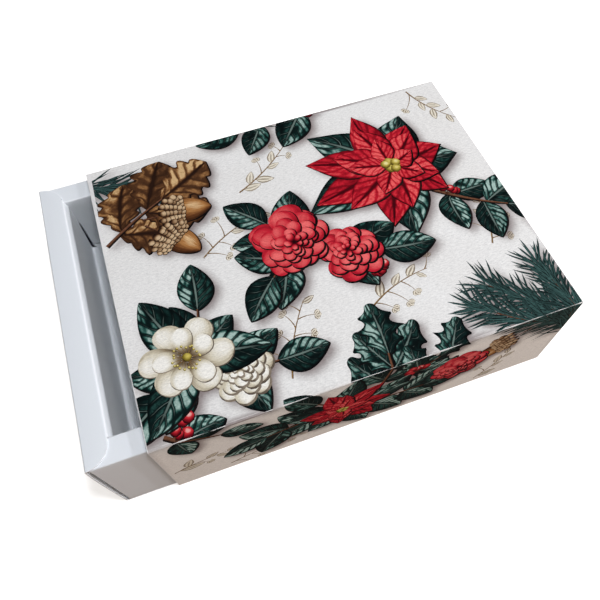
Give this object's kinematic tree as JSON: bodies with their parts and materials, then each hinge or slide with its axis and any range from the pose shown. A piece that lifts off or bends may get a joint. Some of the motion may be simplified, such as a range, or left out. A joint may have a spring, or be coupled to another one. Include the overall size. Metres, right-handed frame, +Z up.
{
  "type": "sliding card box",
  "caption": "Folding carton of matchbox type: a printed card sleeve open at both ends, and a white tray with hollow frame walls and a raised floor that slides in it.",
  "frame": {"origin": "centre of the sleeve's underside, on the surface that the box stands on", "axes": "+Z up, +X along the sleeve, the tray standing out at -X, the sleeve's front face at -Y"},
  "size_m": [0.182, 0.125, 0.05],
  "materials": {
    "printed_card": "matt print on textured white card, botanical pattern",
    "white_card": "matt white",
    "seam_tape": "translucent double-sided tape"
  },
  "bodies": {
    "sleeve": {"sleeve_bottom": "printed_card", "sleeve_front": "printed_card", "sleeve_top": "printed_card", "sleeve_back": "printed_card", "sleeve_glue_flap": "printed_card", "sleeve_seam_tape": "seam_tape"},
    "tray": {"tray_base": "white_card", "front_outer_wall": "white_card", "front_rim": "white_card", "front_inner_wall": "white_card", "front_support_tab": "white_card", "back_outer_wall": "white_card", "back_rim": "white_card", "back_inner_wall": "white_card", "back_support_tab": "white_card", "left_outer_wall": "white_card", "left_rim": "white_card", "left_inner_wall": "white_card", "left_platform_flap": "white_card", "right_outer_wall": "white_card", "right_rim": "white_card", "right_inner_wall": "white_card", "right_platform_flap": "white_card", "front_left_corner_tab": "white_card", "front_right_corner_tab": "white_card", "back_left_corner_tab": "white_card", "back_right_corner_tab": "white_card"}
  },
  "joints": [
    {"name": "tray_slide", "type": "slide", "parent": "sleeve", "child": "tray", "axis": [-1, 0, 0], "range_m": [-0.187, 0.145]}
  ]
}
